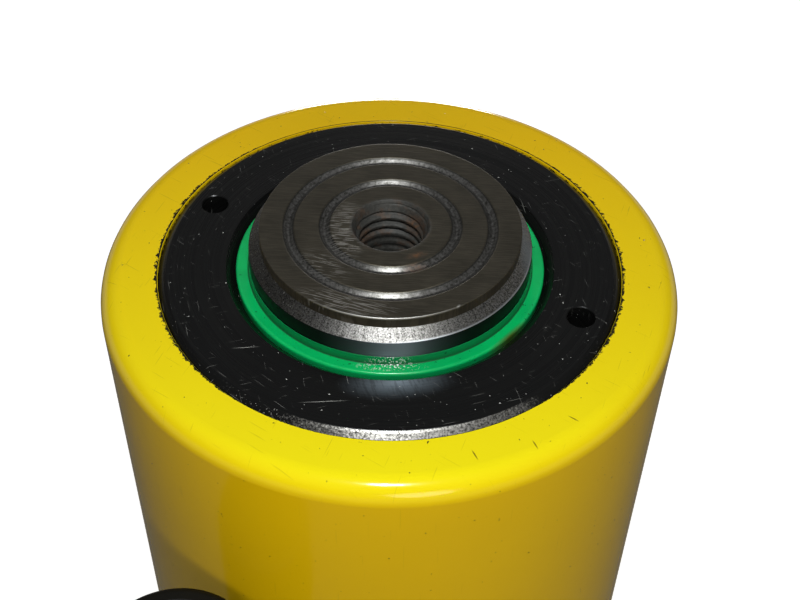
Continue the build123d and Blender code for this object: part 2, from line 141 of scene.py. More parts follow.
def mesh_of(name, grid, rows_meet=True):
    """Put a grid of points, in mm, into a closed mesh. Rows that shrink to one point become a pole."""
    mesh = bpy.data.meshes.new(name)
    faces = quads(*grid.shape[:2], rows_meet)
    mesh.from_pydata((grid.reshape(-1, 3) * MM).tolist(), [], faces.tolist())
    shell = bmesh.new()
    shell.from_mesh(mesh)
    bmesh.ops.remove_doubles(shell, verts=shell.verts, dist=1e-7)
    shell.to_mesh(mesh)
    shell.free()
    return mesh


def at_radius(grid, angle, z):
    """Turn a grid made along Z to point outwards along a radius of the cylinder, at height z."""
    a = radians(angle)
    out, side, up = grid[..., 2], grid[..., 1], z - grid[..., 0]
    return np.stack([out * np.cos(a) - side * np.sin(a), out * np.sin(a) + side * np.cos(a), up], axis=-1)


print("a turned cone's grid has the shape", turned(np.array([(1, 0), (0, 1)])).shape)

# %% Cutting holes and finishing a piece
dressed = {}


def cut(mesh, *tools):
    """Take other closed meshes out of a mesh with an exact Boolean, and keep the result as a plain mesh."""
    stock = bpy.data.objects.new("stock", mesh)
    made = [bpy.data.objects.new("drill", tool) for tool in tools]
    for thing in [stock, *made]:
        bpy.context.scene.collection.objects.link(thing)
    for tool in made:
        boolean = stock.modifiers.new("hole", "BOOLEAN")
        boolean.object, boolean.solver = tool, "EXACT"
    bpy.context.view_layer.update()
    result = bpy.data.meshes.new_from_object(stock.evaluated_get(bpy.context.evaluated_depsgraph_get()))
    for thing in [stock, *made]:
        bpy.data.objects.remove(thing)
    return result


def finished(name, mesh, stands_for, crease=32):
    """Make a mesh the piece that stands for a CAD node, on its body and with its material slot."""
    subpart = next(s for s in frame["record"]["subparts"] if s["node"] == stands_for)
    body = frame["nodes"][stands_for]["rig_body"]
    mesh.shade_smooth()
    mesh.set_sharp_from_angle(angle=radians(crease))
    piece = bpy.data.objects.new(name, mesh)
    bpy.context.scene.collection.objects.link(piece)
    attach(piece, body)
    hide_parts(stands_for)
    dressed[name] = (piece, subpart["material_slot"])
    shell = bmesh.new()
    shell.from_mesh(mesh)
    open_edges = sum(not edge.is_manifold for edge in shell.edges)
    volume = shell.calc_volume(signed=True) * 1e6
    shell.free()
    print(f"{name}: {len(mesh.polygons)} faces, {volume:.2f} cm3, {open_edges} open edges, on {body}")
    return piece


# %% [markdown]
# ## Barrel
# The real one is a thick honed tube with a large rounded top edge, sprayed yellow after its ends are masked.
# One closed outline, turned once, gives the tube. The two ports and the lock screw's hole are drilled with
# turned cutters, because a hole across a round wall is a Boolean's own job.

# %% The painted tube
TOP, BARREL_R, MOUTH_R, BORE_R = 350.0, 63.5, 50.8, 47.625
GLAND_SEAT, BASE_SEAT = 318, 20
PORTS = {"advance": 41.0, "retract": 248.0}
PORT_ANGLE, PORT_OUT = -120.7, 84.9
LOCK_SCREW_ANGLE, LOCK_SCREW_Z = 60, 10


def barrel_mesh():
    outline = rounded([
        (MOUTH_R, 0, 0.3), (BARREL_R - 1.5, 0, 0.4), (BARREL_R, 1.5, 0.4), (BARREL_R, TOP, 4.7),
        (MOUTH_R + 0.15, TOP, 0.1), (MOUTH_R, TOP - 0.2, 0.1), (MOUTH_R, GLAND_SEAT, 0.2),
        (BORE_R, GLAND_SEAT, 0.2), (BORE_R, BASE_SEAT, 0.2), (MOUTH_R, BASE_SEAT, 0.2),
    ], steps=9)
    port = rounded([
        (0, BORE_R - 5, 0), (4, BORE_R - 5, 0.1), (4, BARREL_R - 12, 0.1), (8.5, BARREL_R - 12, 0.1),
        (8.5, BARREL_R - 1.5, 0.1), (13, BARREL_R - 1.5, 0.3), (13, BARREL_R + 5, 0.1), (0, BARREL_R + 5, 0),
    ], closed=False)
    screw = rounded([
        (0, MOUTH_R - 5, 0), (3.03, MOUTH_R - 5, 0.1), (3.03, BARREL_R - 0.6, 0.1), (4, BARREL_R + 0.4, 0.1),
        (4, BARREL_R + 5, 0.1), (0, BARREL_R + 5, 0),
    ], closed=False)
    tools = []
    for z in PORTS.values():
        tools.append(mesh_of("port", at_radius(turned(port, 96), PORT_ANGLE, z), rows_meet=False))
    screw = at_radius(turned(screw, 48), LOCK_SCREW_ANGLE, LOCK_SCREW_Z)
    tools.append(mesh_of("screw_hole", screw, rows_meet=False))
    return cut(mesh_of("barrel_painted", turned(outline, 256)), *tools)


finished("barrel_painted", barrel_mesh(), "barrel")

# %% [markdown]
# ## Gland nut and wiper
# The nut fills the barrel's mouth and stands 0.6 mm proud, with a chamfer that catches the light at the
# front. Two blind holes take a pin spanner. The wiper is a moulded ring that scrapes the rod clean: its top
# lies just under the nut's face and has a rounded outer corner, and a thin lip stands up from its inside
# against the rod.

# %% Gland nut
NUT_FACE, NUT_FLAT_R = TOP + 0.6, 48.95
SPANNER_ANGLE, SPANNER_R = 156.6, 44


def nut_mesh():
    outline = rounded([
        (31, 320, 0.2), (49.75, 320, 0.2), (50.75, 321, 0.2), (50.75, 346, 0.2), (50.6, 346, 0.1),
        (50.6, 349.35, 0.2), (49.5, NUT_FACE - 0.35, 0.3), (NUT_FLAT_R, NUT_FACE, 0.12),
        (36.05, NUT_FACE, 0.2), (34, NUT_FACE - 2.2, 0.2), (34, 346, 0.2), (33.8, 346, 0.2),
        (33.8, 343, 0.1), (31, 343, 0.1),
    ])
    pin = rounded([
        (0, NUT_FACE - 9, 0), (3, NUT_FACE - 9, 0.2), (3, NUT_FACE - 0.2, 0.1), (3.3, NUT_FACE + 0.1, 0.1),
        (3.3, NUT_FACE + 4, 0.1), (0, NUT_FACE + 4, 0),
    ], closed=False)
    tools = []
    for half_turn in (0, pi):
        a = radians(SPANNER_ANGLE) + half_turn
        place = SPANNER_R * np.array([np.cos(a), np.sin(a), 0])
        tools.append(mesh_of("pin_hole", turned(pin, 64) + place, rows_meet=False))
    return cut(mesh_of("nut_turned", turned(outline, 256)), *tools)


finished("nut_turned", nut_mesh(), "retaining_nut")

# %% Wiper ring
CREASE_R, LIP_TOP = 31.2, TOP + 1.85
wiper_outline = rounded([
    (31.05, 343, 0.1), (33.75, 343, 0.3), (33.75, 346.5, 0.3), (33.9, 347, 0.3), (33.9, TOP + 0.15, 0.55),
    (CREASE_R, TOP - 0.1, 0.2), (30.95, LIP_TOP, 0.1), (30.8, LIP_TOP, 0.05), (30.8, TOP + 1, 0.1),
    (31.7, 348.6, 0.3), (31.7, 346, 0.3), (31.05, 345.4, 0.2),
], steps=7)
finished("wiper_moulded", mesh_of("wiper_moulded", turned(wiper_outline, 256)), "wiper_ring")

# %% [markdown]
# ## Plunger and saddle
# The plunger is one bar, chromed and ground, whose end is turned back to a rough 38 degree chamfer. The
# saddle is a disc on a spigot with two V-grooves in its face and a 5/8-11 thread down its middle. A thread is
# a radius that depends on height and angle together: the flank climbs one pitch in each turn. The same grid
# that holds the disc holds the thread, with finer rows down the hole.

# %% Plunger
ROD_END, ROD_R, TAIL_R = 357.7, 30.75, 22
SCREW_BITE_ANGLE, SCREW_BITE_Z = 30, 41


def plunger_mesh():
    outline = rounded([
        (0, 34.5, 0), (TAIL_R - 1.5, 34.5, 0.2), (TAIL_R, 36, 0.2), (TAIL_R, 66.3, 0.15),
        (19.05, 66.3, 0.2), (19.05, 69.7, 0.2), (TAIL_R, 69.7, 0.15), (TAIL_R, 104, 0.3),
        (ROD_R, 104, 0.2), (ROD_R, ROD_END - 2, 0.2), (28.2, ROD_END, 0.12), (15.05, ROD_END, 0.2),
        (15.05, ROD_END - 24, 0.3), (0, ROD_END - 24, 0),
    ], closed=False)
    bite = rounded([(0, 19, 0), (3.03, 19, 0.1), (3.03, 30, 0.1), (0, 30, 0)], closed=False)
    bite = at_radius(turned(bite, 48), SCREW_BITE_ANGLE, SCREW_BITE_Z)
    rod = mesh_of("rod_ground", turned(outline, 256), rows_meet=False)
    return cut(rod, mesh_of("bite", bite, rows_meet=False))


finished("rod_ground", plunger_mesh(), "plunger")

# %% A thread as a change of radius
def screw_thread(height, turns, pitch):
    """How far up its flank a 60 degree thread is, from 0 at the crest to 1 at the root.

    turns is the angle over a full turn, and the phase is height / pitch - turns. The distance from the
    nearest crest, in pitches, is 0 to 1/2: an eighth is the flat crest and a sixteenth the flat root.
    """
    phase = np.mod(height / pitch - turns + 0.5, 1) - 0.5
    return np.clip((np.abs(phase) - 1 / 8) / (5 / 16), 0, 1)


quarter_turns = screw_thread(0.0, np.linspace(0, 1, 5), 1.0)
print("thread depth at each quarter of a turn:", np.round(quarter_turns, 2))

# %% Saddle
SADDLE_TOP, SADDLE_R, SPIGOT_R = 360.36, 28.3, 15
GROOVE_RADII, GROOVE_WIDTH, GROOVE_DEPTH = (14.3, 22.05), 2.6, 1.05
HOLE_PITCH, HOLE_MINOR_R, HOLE_DEPTH, HOLE_ROW = 2.309, 6.8, 1.25, 0.19
WORN_FROM, DIRTY_FROM, DIRTY_SIDE, DIRTY_SHARE = 3.6, 7.0, 115, 0.8


def hole_thread(r, z, a):
    """Push the hole's wall out to the thread's surface, less where it is dirty, and flat where it is worn.

    WORN_FROM and DIRTY_FROM are depths below the face. The crests wear away over the 3 mm above WORN_FROM.
    On one side dirt fills up to DIRTY_SHARE of the thread: the share grows over the 2 mm below DIRTY_FROM,
    and with the cosine of the angle from DIRTY_SIDE.
    """
    worn = HOLE_DEPTH * np.clip((z - SADDLE_TOP + WORN_FROM) / 3.0, 0, 1)
    dirty = np.clip((SADDLE_TOP - DIRTY_FROM - z) / 2.0, 0, 1)
    dirty = dirty * (0.5 + 0.5 * np.cos(a - radians(DIRTY_SIDE)))
    cut_depth = HOLE_DEPTH * (1 - DIRTY_SHARE * dirty) * screw_thread(z, a / (2 * pi), HOLE_PITCH)
    thread = HOLE_MINOR_R + np.maximum(worn, cut_depth)
    return np.where(r < HOLE_MINOR_R + HOLE_DEPTH, np.maximum(r, thread), r + 0 * a)


def saddle_mesh():
    low, ring_z, top = ROD_END - 22, ROD_END - 11, SADDLE_TOP
    half = GROOVE_WIDTH / 2
    grooves = []
    for centre in GROOVE_RADII:
        grooves += [(centre - half, top, 0.4), (centre, top - GROOVE_DEPTH, 0.5), (centre + half, top, 0.4)]
    outline = rounded([
        (HOLE_MINOR_R, low, 0.1), (SPIGOT_R - 1, low, 0.2), (SPIGOT_R, low + 1, 0.2),
        (SPIGOT_R, ring_z - 1.5, 0.1), (12.21, ring_z - 1.5, 0.1), (12.21, ring_z + 1.5, 0.1),
        (SPIGOT_R, ring_z + 1.5, 0.1), (SPIGOT_R, ROD_END, 0.2), (SADDLE_R, ROD_END, 0.12),
        (SADDLE_R, top, 0.22), *reversed(grooves), (8.4, top, 0.3),
        (HOLE_MINOR_R + HOLE_DEPTH, top - 0.6, 0.05),
    ])
    wall = (outline[:, 0] < HOLE_MINOR_R + 0.01) & (outline[:, 1] > low + 1)
    rows = np.arange(low + 0.2, top - 0.65, HOLE_ROW)[::-1]
    fine = np.stack([np.full(len(rows), HOLE_MINOR_R), rows], axis=1)
    outline = np.vstack([outline[~wall], fine])
    return mesh_of("saddle_threaded", turned(outline, 216, hole_thread))


finished("saddle_threaded", saddle_mesh(), "saddle", crease=40)

# %% [markdown]
# ## Couplers and their caps
# Each port has a forged elbow, a hexagon adapter, a threaded nose and a moulded dust cap. A port's pieces
# are made about their own upright axis and then moved beside the barrel. The hexagon is the smaller of two
# radii, the flats' and a cone's, which gives the curved corners of a real nut. The elbow carries its outline
# round a bend instead of round a straight axis.

# %% Moving a piece to its port
def at_port(grid, port):
    """Turn a grid made about the coupler's axis to the port's angle, and move it out and up."""
    a = radians(PORT_ANGLE)
    x, y, z = grid[..., 0] + PORT_OUT, grid[..., 1], grid[..., 2] + PORTS[port]
    return np.stack([x * np.cos(a) - y * np.sin(a), x * np.sin(a) + y * np.cos(a), z], axis=-1)


coupler_axis = at_port(np.zeros(3), "retract") * MM
print("the retract coupler stands at", np.round(coupler_axis, 4))

# %% Dust caps
CAP_R, CAP_BORE_R, CAP_DISH_R, CAP_TOP = 17.8, 14.3, 14, 57.8
FLUTES, FLUTE_DEPTH, FLUTE_LOW, FLUTE_HIGH = 30, 0.55, 33.5, 50


def fluted(r, z, a):
    """Press shallow finger flutes into the outside of the skirt, fading out below the cap's rounded edge."""
    outside = np.clip((r - CAP_R + 0.6) / 0.4, 0, 1)
    span = np.clip((z - FLUTE_LOW) / 1.5, 0, 1) * np.clip((FLUTE_HIGH - z) / 3, 0, 1)
    return r - FLUTE_DEPTH * outside * span * (0.5 + 0.5 * np.cos(FLUTES * a)) ** 2


cap_outline = dense(rounded([
    (0, 53.5, 0), (CAP_BORE_R, 53.5, 0.5), (CAP_BORE_R, 32.2, 0.3), (CAP_R, 32.2, 0.5),
    (CAP_R, CAP_TOP, 3.2), (CAP_DISH_R, CAP_TOP, 0.35), (CAP_DISH_R, CAP_TOP - 0.8, 0.3),
    (0, CAP_TOP - 0.8, 0),
], steps=8, closed=False), 1.0, closed=False)
for port in PORTS:
    cap = at_port(turned(cap_outline, 240, fluted), port)
    cap = mesh_of(port + "_cap_moulded", cap, rows_meet=False)
    finished(port + "_cap_moulded", cap, port + "_dust_cap", crease=45)

# %% Threaded noses
NOSE_R, NOSE_PITCH, NOSE_THREAD, THREAD_LOW = 14.0, 2.0, 0.9, 31.5
NOSE_BORE_R, NOSE_TOP = 8, 53.5


def nose_thread(r, z, a):
    """Cut the thread into the outside of the nose, from the relief up and through its end chamfer."""
    root = NOSE_R - NOSE_THREAD * screw_thread(z, a / (2 * pi), NOSE_PITCH)
    return np.where((r > NOSE_R - NOSE_THREAD) & (z > THREAD_LOW), np.minimum(r, root), r + 0 * a)


nose_outline = dense(rounded([
    (10, 30, 0.1), (12.7, 30, 0.3), (12.7, 32, 0.3), (NOSE_R, 33.3, 0.1), (NOSE_R, NOSE_TOP - 1, 0.2),
    (NOSE_R - 1, NOSE_TOP, 0.2), (NOSE_BORE_R + 0.6, NOSE_TOP, 0.15), (NOSE_BORE_R, NOSE_TOP - 0.6, 0.15),
    (NOSE_BORE_R, 49.55, 0.1), (9.33, 49.55, 0.1), (9.33, 47.45, 0.1), (NOSE_BORE_R, 47.45, 0.1),
    (NOSE_BORE_R, 45.5, 0.2), (4.4, 45.5, 0.2), (4.4, 43, 0.1), (6.5, 40.9, 0.2), (6.5, 37, 0.2),
    (10, 37, 0.1),
]), 0.25)
for port in PORTS:
    nose = mesh_of(port + "_nose_threaded", at_port(turned(nose_outline, 144, nose_thread), port))
    finished(port + "_nose_threaded", nose, port + "_coupler_body", crease=40)

# %% Hexagon adapters
HEX_FLAT_R, HEX_CORNER_R = 13.5, 15.588


def hexagon(r, z, a):
    """The smaller of the outline's radius and the flats': flat radius / cos(angle from a flat's middle)."""
    from_flat = np.mod(a, pi / 3) - pi / 6
    return np.minimum(r + 0 * a, HEX_FLAT_R / np.cos(from_flat))


hex_outline = dense(rounded([
    (3.5, 8.6, 0.2), (8.45, 8.6, 0.4), (8.45, 20, 0.1), (HEX_FLAT_R, 20, 0.1), (HEX_CORNER_R, 21.04, 0.1),
    (HEX_CORNER_R, 28.96, 0.1), (HEX_FLAT_R, 30, 0.1), (9.95, 30, 0.1), (9.95, 36.5, 0.3),
    (5.8, 36.5, 0.2), (5.8, 23, 0.2), (3.5, 23, 0.1),
]), 0.3)
for port in PORTS:
    adapter = mesh_of(port + "_hexagon", at_port(turned(hex_outline, 144, hexagon), port))
    finished(port + "_hexagon", adapter, port + "_coupler_adapter", crease=25)

# %% Forged elbows
LEG_START, LEG_LENGTH, BEND_R = -31.4, 21.4, 10.0
HEEL, RIDGE, RIDGE_WIDTH = 3.2, 0.3, 0.7


def elbow_grid(outline, columns=96):
    """Carry an outline of (radius, distance along the path) along the elbow's leg, round its bend and up.

    The path's middle is (start + s, 0) on the leg, then an arc of radius BEND_R, then straight up. A point is
    the middle + n N + b B, where N points to the inside of the bend, B sideways, n = r cos a and b = r sin a.
    The outside of the bend is pushed out into a heel, and a low ridge follows the two halves of the die.
    Both are only on the forged skin between the machined ends.
    """
    a = np.linspace(0, 2 * pi, columns, endpoint=False)[None, :]
    r, s = outline[:, :1], outline[:, 1:]
    bend = np.clip((s - LEG_LENGTH) / BEND_R, 0, pi / 2)
    forged = (r > 9.2) & (r < 11.2) & (s > 10) & (s < 37)
    ridge = np.exp(-(r * np.sin(a) / RIDGE_WIDTH) ** 2)
    heel = np.sin(2 * bend) * np.clip(-np.cos(a), 0, 1) ** 2
    r = r + forged * (HEEL * heel + RIDGE * ridge)
    n, b = r * np.cos(a), r * np.sin(a)
    n = np.where((bend > 0) & (bend < pi / 2), np.minimum(n, BEND_R - 0.4), n)
    middle_x = LEG_START + np.minimum(s, LEG_LENGTH) + BEND_R * np.sin(bend)
    middle_z = BEND_R * (1 - np.cos(bend)) + np.maximum(s - LEG_LENGTH - BEND_R * pi / 2, 0)
    return np.stack([middle_x - n * np.sin(bend), -b + 0 * s, middle_z + n * np.cos(bend)], axis=-1)


elbow_outline = dense(rounded([
    (3.5, 0, 0.2), (8.45, 0, 0.5), (8.45, 9.5, 0.1), (9.5, 9.5, 0.6), (9.5, 22, 3), (11, 35, 3),
    (11, 37.1, 0.2), (13.5, 37.1, 1.2), (13.5, 47.1, 1.2), (8.5, 47.1, 0.3), (8.5, 36.9, 0.2),
    (3.5, 35.5, 0.2),
]), 0.6)
for port in PORTS:
    elbow = mesh_of(port + "_elbow_forged", at_port(elbow_grid(elbow_outline), port))
    finished(port + "_elbow_forged", elbow, port + "_elbow", crease=40)

# %% [markdown]
# ## Materials
# A material is a small tree of nodes. Every pattern below reads Object coordinates, turned to millimetres,
# so a number in it is a real size. Noise of one kind or another draws them all: cloudy for oil and rust,
# thresholded for specks, stretched for scratches, and read along the radius for a lathe's turning marks.

# %% One function adds a node
def colour(code):
    """An sRGB hex colour as the linear colour that Blender's sockets take."""
    srgb = np.array([int(code[k:k + 2], 16) for k in (0, 2, 4)]) / 255
    linear = np.where(srgb <= 0.04045, srgb / 12.92, ((srgb + 0.055) / 1.055) ** 2.4)
    return (*linear.tolist(), 1.0)


def fill(tree, node, inputs):
    """Set a node's sockets to numbers or colours, or link them.

    A socket goes by its name, or by its number where names repeat.
    """
    for key, value in inputs.items():
        named = [s for s in node.inputs if s.enabled and s.name == key]
        socket = named[0] if named else node.inputs[key]
        if isinstance(value, bpy.types.NodeSocket):
            tree.links.new(value, socket)
        else:
            socket.default_value = value


def add(tree, kind, inputs, output=None, **settings):
    """Add one node with its settings, numbers and links, and give its named or first live output."""
    node = tree.nodes.new("ShaderNode" + kind)
    for name, value in settings.items():
        setattr(node, name, value)
    fill(tree, node, inputs)
    return node.outputs[output] if output else next(s for s in node.outputs if s.enabled)


def start(name):
    """A new material with one Principled shader: the material, its tree and the shader."""
    material = bpy.data.materials.new(name)
    material.use_nodes = True
    return material, material.node_tree, material.node_tree.nodes["Principled BSDF"]


print("mid grey in linear light:", np.round(colour("808080"), 3))

# %% [markdown]
# ## Patterns
# A few patterns are enough for metal that is turned, oiled, handled and knocked about. Each gives a mask from
# 0 to 1 that lays one colour over another or lifts a bump. A lathe's real feed marks lie 0.1 to 0.2 mm apart,
# too fine to show, so most are drawn two or three times as coarse.

# %% Where a point is, and what is drawn there
def position(tree, centre=(0, 0, 0)):
    """A point's place from a centre, in mm."""
    place = add(tree, "TexCoord", {}, "Object")
    inputs = {"Vector": place, "Scale": [1 / MM] * 3, "Location": [-c for c in centre]}
    return add(tree, "Mapping", inputs)


def polar(tree, where):
    """The distance from the upright axis and the height, in mm."""
    flat = add(tree, "VectorMath", {0: where, 1: (1, 1, 0)}, operation="MULTIPLY")
    radius = add(tree, "VectorMath", {0: flat}, operation="LENGTH")
    return radius, add(tree, "SeparateXYZ", {"Vector": where}, "Z")


def between(tree, value, low, high, soft=0.1):
    """1 where value lies from low to high, falling to 0 over a soft edge."""
    rise = add(tree, "MapRange", {"Value": value, "From Min": low - soft, "From Max": low + soft})
    fall = add(tree, "MapRange", {"Value": value, "From Min": high + soft, "From Max": high - soft})
    return add(tree, "Math", {0: rise, 1: fall}, operation="MULTIPLY")


def patch(tree, where, middle, size, turn=0.0, soft=1.0):
    """1 in the middle of a turned ellipse with these half sizes in mm, falling to 0 over its outer share."""
    inputs = {"Vector": where, "Location": middle, "Rotation": (0, 0, radians(turn)), "Scale": size}
    local = add(tree, "Mapping", inputs, vector_type="TEXTURE")
    away = add(tree, "VectorMath", {0: local}, operation="LENGTH")
    return add(tree, "MapRange", {"Value": away, "From Min": 1.0, "From Max": 1.0 - soft})


def specks(tree, where, size, rarity, seed=0.0):
    """Grains about `size` mm wide. Noise hardly ever passes 0.75, so a rarity near that leaves a few."""
    shifted = add(tree, "VectorMath", {0: where, 1: (seed, seed * 1.7, seed * 0.6)}, operation="ADD")
    noise = add(tree, "TexNoise", {"Vector": shifted, "Scale": 0.5 / size, "Detail": 1.0})
    return add(tree, "MapRange", {"Value": noise, "From Min": rarity, "From Max": rarity + 0.03})


def scratches(tree, where, turn, length, width, rarity):
    """Fine strokes, turned by an angle: noise stretched to `length` one way and `width` mm the other."""
    turned_to = add(tree, "Mapping", {"Vector": where, "Rotation": (0, 0, radians(turn))})
    scale = (0.5 / length, 0.5 / width, 0.5 / length)
    stretched = add(tree, "VectorMath", {0: turned_to, 1: scale}, operation="MULTIPLY")
    noise = add(tree, "TexNoise", {"Vector": stretched, "Scale": 1.0, "Detail": 1.0})
    return add(tree, "MapRange", {"Value": noise, "From Min": rarity, "From Max": rarity + 0.04})


def spokes(tree, where, count):
    """About `count` light streaks round the axis that run along the radius and the height."""
    flat = add(tree, "VectorMath", {0: where, 1: (1, 1, 0)}, operation="MULTIPLY")
    facing = add(tree, "VectorMath", {0: flat}, operation="NORMALIZE")
    return add(tree, "TexNoise", {"Vector": facing, "Scale": count / (2 * pi), "Detail": 3.0})


def turning(tree, where, spacing):
    """A lathe's feed marks: noise in lines `spacing` mm apart, by radius and height, slow round the piece."""
    radius, height = polar(tree, where)
    across = add(tree, "Math", {0: radius, 1: height}, operation="ADD")
    lines = add(tree, "Math", {0: across, 1: 0.5 / spacing}, operation="MULTIPLY")
    slow = add(tree, "VectorMath", {0: where, 1: (0.02, 0.02, 0.0)}, operation="MULTIPLY")
    both = add(tree, "VectorMath", {0: slow, 1: add(tree, "CombineXYZ", {"Z": lines})}, operation="ADD")
    return add(tree, "TexNoise", {"Vector": both, "Scale": 1.0, "Detail": 3.0})


def coats(tree, tone, *layers):
    """Lay colours over a tone, one after another. A layer is a mask and an sRGB hex colour."""
    for mask, code in layers:
        tone = add(tree, "Mix", {"Factor": mask, "A": tone, "B": colour(code)}, data_type="RGBA")
    return tone


print("patterns: position, polar, between, patch, specks, scratches, spokes, turning, coats")

# %% [markdown]
# ## Barrel enamel
# Stoved enamel is a hard gloss alkyd or polyester paint baked on. It gives a deep golden yellow, a small
# sharp highlight on the rounded edge and a faint orange peel. The top is painted a lighter lemon towards the
# front, a painted highlight where the lamp falls strongest. It is chipped in specks, has fine brown hairlines
# and a few nicks, and stops at the mouth in a ragged dark line: grime that creeps onto the top at the sides,
# and painted shade in the gap beside the nut. Further down, the inside is bare honed steel.

# %% Stoved yellow enamel
def stoved_enamel():
    material, tree, shader = start("stoved_enamel_yellow")
    where = position(tree)
    radius, height = polar(tree, where)
    cloud = add(tree, "TexNoise", {"Vector": where, "Scale": 1 / 35, "Detail": 3.0})
    golden = coats(tree, colour("ECC006"), (cloud, "E3B706"))
    lit_lemon = coats(tree, colour("E4D60C"), (cloud, "DFCE0A"))
    upper = add(tree, "MapRange", {"Value": height, "From Min": TOP - 5, "From Max": TOP - 0.2})
    front = add(tree, "SeparateXYZ", {"Vector": where}, "Y")
    # Painted light: the top turns a lighter lemon towards the front, where the lamp lights it most.
    painted_front_light = add(tree, "MapRange", {"Value": front, "From Min": 45.0, "From Max": -60.0})
    painted_front_light = add(tree, "Math", {0: painted_front_light, 1: upper}, operation="MULTIPLY")
    paint = add(tree, "Mix", {"Factor": painted_front_light, "A": golden, "B": lit_lemon}, data_type="RGBA")
    lines = scratches(tree, where, 35, 6, 0.14, 0.73)
    more = scratches(tree, where, 110, 4, 0.12, 0.74)
    marks = add(tree, "Math", {0: lines, 1: more}, operation="MAXIMUM")
    faint = add(tree, "MapRange", {"Value": upper, "To Min": 0.08, "To Max": 0.35})
    marks = add(tree, "Math", {0: marks, 1: faint}, operation="MULTIPLY")
    for x, y, turn, length in ((16.6, -54.2, -65, 1.5), (28.3, -51.5, -65, 1.3), (36.3, -44.9, -35, 1.4)):
        nick = patch(tree, where, (x, y, TOP), (length, 0.16, 2), turn, 0.5)
        marks = add(tree, "Math", {0: marks, 1: nick}, operation="MAXIMUM")
    chips = specks(tree, where, 0.4, 0.775)
    on_top = add(tree, "Math", {0: height, 1: TOP - 5}, operation="GREATER_THAN")
    ragged = add(tree, "TexNoise", {"Vector": where, "Scale": 0.8, "Detail": 5.0, "Roughness": 0.75})
    sideways = add(tree, "SeparateXYZ", {"Vector": where}, "X")
    sideways = add(tree, "Math", {0: sideways}, operation="ABSOLUTE")
    sideways = add(tree, "MapRange", {"Value": sideways, "From Min": 28.0, "From Max": 46.0})
    creep = add(tree, "MapRange", {"Value": ragged, "From Min": 0.42, "From Max": 0.75, "To Max": 1.3})
    creep = add(tree, "Math", {0: creep, 1: sideways}, operation="MULTIPLY")
    reach = add(tree, "Math", {0: creep, 1: MOUTH_R + 0.25}, operation="ADD")
    # shade_and_grime: painted shade in the gap at the mouth's edge and on the wall inside it, and ragged
    # grime creeping onto the top at the sides.
    shade_and_grime = add(tree, "Math", {0: radius, 1: reach}, operation="LESS_THAN")
    shade_and_grime = add(tree, "Math", {0: shade_and_grime, 1: on_top}, operation="MULTIPLY")
    edge = add(tree, "MapRange", {"Value": ragged, "From Min": 0.3, "From Max": 0.7,
                                  "To Min": TOP - 1.7, "To Max": TOP - 0.1})
    over = add(tree, "Math", {0: height, 1: edge}, operation="GREATER_THAN")
    wall_paint = between(tree, radius, MOUTH_R - 1, MOUTH_R + 0.1, 0.02)
    wall_paint = add(tree, "Math", {0: over, 1: wall_paint}, operation="MULTIPLY")
    shade_and_grime = add(tree, "Math", {0: shade_and_grime, 1: wall_paint}, operation="SUBTRACT", use_clamp=True)
    skin = add(tree, "Math", {0: radius, 1: BARREL_R - 0.25}, operation="LESS_THAN")
    wall = between(tree, height, 2.5, TOP - 5.5, 0.05)
    bare = add(tree, "Math", {0: skin, 1: wall}, operation="MULTIPLY")
    paint = coats(tree, paint, (marks, "6E5A10"), (chips, "2A2415"), (shade_and_grime, "1E1B10"), (bare, "8C8880"))
    peel = add(tree, "TexNoise", {"Vector": where, "Scale": 1 / 2.4, "Detail": 1.0})
    pits = add(tree, "Math", {0: chips, 1: -1.5}, operation="MULTIPLY")
    skin_height = add(tree, "Math", {0: peel, 1: pits}, operation="ADD")
    normal = add(tree, "Bump", {"Height": skin_height, "Strength": 0.5, "Distance": 0.03 * MM})
    gloss = add(tree, "MapRange", {"Value": cloud, "To Min": 0.1, "To Max": 0.17})
    fill(tree, shader, {"Base Color": paint, "Roughness": gloss, "Metallic": bare, "Normal": normal})
    fill(tree, shader, {"Specular IOR Level": 0.25})
    return material


finish = {"barrel_enamel": stoved_enamel()}
print("made", finish["barrel_enamel"].name)
